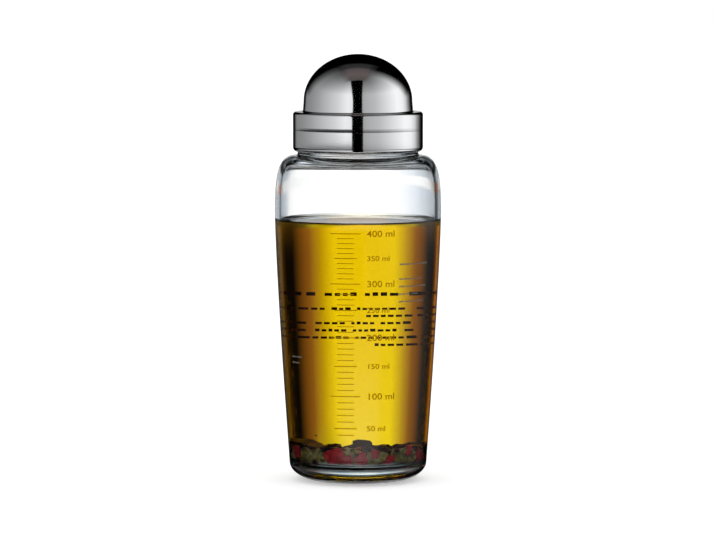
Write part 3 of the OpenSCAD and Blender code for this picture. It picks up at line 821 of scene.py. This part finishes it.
# The dark wall behind, in three parts: how its edge leans with height, and that edge
BEHIND_MIDDLE, BEHIND_LEFT, BEHIND_RIGHT = (0.55, 0.92, 0.03), (0.55, 0.76, 0.17), (0.75, 0.7, 0.2)
BEHIND_LEFT_X, BEHIND_RIGHT_X, BEHIND_Z = (-0.3, 0.06), (0.32, 0.08), (0.1, 0.05)


def reflections(nodes, x, y, z):
    """Softboxes at both sides, a dark gap at the camera, a dim ceiling and a dark wall behind."""
    front = nodes.math("ARCTAN2", x, nodes.math("MULTIPLY", y, -1.0))
    walls = nodes.ramp(nodes.math("MULTIPLY_ADD", front, 1 / TURN, 0.5),
                       [((degrees + 180) / 360, level) for degrees, level in SOFTBOXES])
    below = nodes.math("MULTIPLY", z, -1.0)
    table = nodes.mix(nodes.over(x, 0), nodes.ramp(below, TABLE_LEFT), nodes.ramp(below, TABLE_RIGHT))
    lit = nodes.multiply(walls, nodes.ramp(z, WALL_FADE), table)
    ceiling = nodes.math("MULTIPLY", nodes.over(x, *CEILING_LEFT), nodes.over(z, CEILING_Z))
    right = nodes.under(nodes.math("MULTIPLY_ADD", y, CEILING_LEAN, x), *CEILING_RIGHT)
    ceiling = nodes.math("MULTIPLY", nodes.math("MULTIPLY", ceiling, right), nodes.over(y, GAP_BACK))
    lit = nodes.mix(ceiling, lit, nodes.ramp(nodes.math("MULTIPLY_ADD", y, 0.5, 0.5), CEILING))
    left = nodes.over(nodes.math("MULTIPLY_ADD", z, GAP_LEAN, x), *GAP_LEFT)
    gap = nodes.math("MULTIPLY", left, nodes.under(x, *GAP_RIGHT))
    lit = nodes.mix(nodes.math("MULTIPLY", gap, nodes.under(y, GAP_BACK)), lit, BLACK)

    def behind(lean, *edge):
        return nodes.over(nodes.math("MULTIPLY_ADD", z, lean, y), *edge)

    dark = nodes.mix(nodes.under(x, *BEHIND_LEFT_X), behind(*BEHIND_MIDDLE), behind(*BEHIND_LEFT))
    dark = nodes.mix(nodes.over(x, *BEHIND_RIGHT_X), dark, behind(*BEHIND_RIGHT))
    return nodes.mix(nodes.math("MULTIPLY", dark, nodes.over(z, *BEHIND_Z)), lit, BLACK)


# What is seen through the glass: its colour by degrees to either side of its middle, which lies SWEEP_TURN
# off straight behind; first where the dressing bends it, then where only glass does
SWEEP_TURN = 3.3
SWEEP = [
    (0, 1.18), (13.8, 1.18), (17.5, (0.92, 0.86, 0.85)), (22, (0.62, 0.48, 0.4)), (28, (0.33, 0.16, 0.11)),
    (34.5, (0.18, 0.08, 0.05)), (39, (0.06, 0.03, 0.02)), (42.5, 0), (52, 0), (55, (0.03, 0.015, 0.01)),
    (58, (0.06, 0.03, 0.02)), (62, (0.28, 0.14, 0.08)), (70, (0.26, 0.13, 0.08)), (76, (0.14, 0.09, 0.07)),
    (80, (0.1, 0.1, 0.12)), (104, (0.1, 0.1, 0.12)), (112, 0.04), (124, 0), (138, (0.06, 0.04, 0.02)),
    (150, (0.35, 0.26, 0.16)), (160, (0.7, 0.66, 0.5)), (180, (0.8, 0.77, 0.6))]
CLEAR_SWEEP = [
    (0, 1.3), (5, 1.25), (8, (0.92, 0.97, 1.04)), (10, (0.76, 0.82, 0.88)), (15, (0.64, 0.71, 0.77)),
    (19, (0.57, 0.62, 0.68)), (25, (0.5, 0.55, 0.6)), (31, (0.1, 0.12, 0.14)), (40, 0.01), (60, 0.01),
    (80, (0.03, 0.035, 0.04)), (104, (0.08, 0.085, 0.095)), (124, 0.02), (140, 0.1), (155, 0.6),
    (180, 0.75)]
# Tint of the first at its far left and right, past SIDE_X
LEFT_TINT, RIGHT_TINT, SIDE_X, SIDE_SOFT = (2.2, 1.8, 3), (0.64, 0.75, 3), 0.75, 0.05
# The band just below level where the first holds: how each edge leans with the angle off, and that edge
BAND_FOOT, BAND_HEAD = (-0.034, -0.059, 0.003), (-0.06, -0.035, 0.004)
# Brightness of both by height, from straight down to straight up
HEIGHTS = [
    (-1, 0.9), (-0.26, 0.9), (-0.2, 0), (-0.14, 0), (-0.1, 1), (0.05, 1), (0.09, 0.06), (0.18, 0.06),
    (0.2, 0.25), (0.25, 0.25), (0.28, 0), (0.48, 0), (0.6, 2.5), (0.84, 2.5), (0.9, 0), (1, 0)]
# Well to the sides, between these angles off, it is bright within these heights instead
BESIDE, BESIDE_HEIGHTS = (math.radians(50), math.radians(118)), (-0.36, 0.25, 0.06)
# Light from high at the front, which reaches the herbs through the glass
FRONT_LIGHT, FRONT_LIGHT_Z, FRONT_LIGHT_Y = (3.6, 3.5, 3.5), (0.25, 0.9), -0.3


def backdrop(nodes, x, y, z):
    """What is seen through the glass: a white sweep behind, black to both sides, pale again at the front.

    The dressing bends what it shows to just below level, and there the sweep's edges are brown."""
    off = nodes.math("ABSOLUTE", nodes.math("ADD", nodes.math("ARCTAN2", x, y), math.radians(SWEEP_TURN)))
    share = nodes.math("DIVIDE", off, math.pi)
    brown = nodes.ramp(share, [(degrees / 180, colour) for degrees, colour in SWEEP])
    tint = nodes.mix(nodes.under(x, -SIDE_X, SIDE_SOFT), WHITE, LEFT_TINT)
    tint = nodes.mix(nodes.over(x, SIDE_X, SIDE_SOFT), tint, RIGHT_TINT)
    brown = nodes.multiply(brown, tint)
    plain = nodes.ramp(share, [(degrees / 180, colour) for degrees, colour in CLEAR_SWEEP])
    foot = nodes.over(nodes.math("MULTIPLY_ADD", off, BAND_FOOT[0], z), *BAND_FOOT[1:])
    head = nodes.under(nodes.math("MULTIPLY_ADD", off, BAND_HEAD[0], z), *BAND_HEAD[1:])
    sweep = nodes.mix(nodes.math("MULTIPLY", foot, head), plain, brown)
    height = nodes.ramp(nodes.math("MULTIPLY_ADD", z, 0.5, 0.5), [((h + 1) / 2, c) for h, c in HEIGHTS])
    height = nodes.mix(nodes.inside(off, *BESIDE), height, nodes.inside(z, *BESIDE_HEIGHTS))
    high_front = nodes.math("MULTIPLY", nodes.inside(z, *FRONT_LIGHT_Z), nodes.under(y, FRONT_LIGHT_Y))
    return nodes.mix(high_front, nodes.multiply(sweep, height), FRONT_LIGHT)


def world_light():
    """One look for what the camera sees, one for reflections and one for what shows through the glass."""
    world = bpy.data.worlds.new("studio")
    bpy.context.scene.world = world
    world.use_nodes = True
    world.cycles.sampling_method = "NONE"
    nodes = Nodes(world.node_tree)
    way = nodes.add("ShaderNodeTexCoord").outputs["Generated"]
    x, y, z = nodes.add("ShaderNodeSeparateXYZ", {0: way}).outputs
    path = nodes.add("ShaderNodeLightPath").outputs
    seen = nodes.mix(path["Is Glossy Ray"], WHITE, reflections(nodes, x, y, z))
    seen = nodes.mix(path["Is Transmission Ray"], seen, backdrop(nodes, x, y, z))
    seen = nodes.mix(path["Is Camera Ray"], seen, WHITE)
    glow = nodes.add("ShaderNodeBackground", {"Color": seen, "Strength": 1})
    nodes.add("ShaderNodeOutputWorld", {"Surface": glow.outputs[0]})


def make_floor():
    """A pale floor that keeps the bottle's shadow and runs out into the white sweep."""
    radius, drop, white, lift = 6, 0.0002, 0.8, 0.4
    mesh = bpy.data.meshes.new("floor")
    bm = bmesh.new()
    bmesh.ops.create_circle(bm, cap_ends=True, segments=64, radius=radius)
    bm.to_mesh(mesh)
    bm.free()
    floor = bpy.data.objects.new("floor", mesh)
    bpy.context.scene.collection.objects.link(floor)
    floor.location.z = -drop
    floor.visible_transmission = False
    floor.visible_glossy = False
    made = bpy.data.materials.new("floor_white")
    made.use_nodes = True
    nodes = Nodes(made.node_tree)
    path = nodes.add("ShaderNodeLightPath").outputs
    matt = nodes.add("ShaderNodeBsdfDiffuse", {"Color": (white, white, white, 1)})
    glow = nodes.add("ShaderNodeEmission", {"Strength": nodes.math("MULTIPLY", path["Is Camera Ray"], lift)})
    both = nodes.add("ShaderNodeAddShader", {0: matt.outputs[0], 1: glow.outputs[0]})
    nodes.add("ShaderNodeOutputMaterial", {"Surface": both.outputs[0]})
    floor.data.materials.append(made)


def make_camera():
    """Where the photograph's camera stood: far off, a little above, looking slightly down."""
    distance, tilt, aim = 2.2, math.radians(4.7), Vector((0, 0, 0.101))
    data = bpy.data.cameras.new("camera")
    data.sensor_width = 36
    data.lens = 230
    data.clip_end = 50
    camera = bpy.data.objects.new("camera", data)
    bpy.context.scene.collection.objects.link(camera)
    camera.location = aim + distance * Vector((0, -math.cos(tilt), math.sin(tilt)))
    camera.rotation_euler = (math.pi / 2 - tilt, 0, 0)
    bpy.context.scene.camera = camera


steel_finish = steel("polished_steel", (0.8, 0.81, 0.82), 0.05, 0.09)
make_glass()
make_liquid()
make_food()
make_scale()
make_plain_lines()
make_cap(steel_finish)
make_sleeve(steel_finish)
finish_cad()
world_light()
make_floor()
make_camera()
bpy.context.scene.view_settings.view_transform = "Standard"
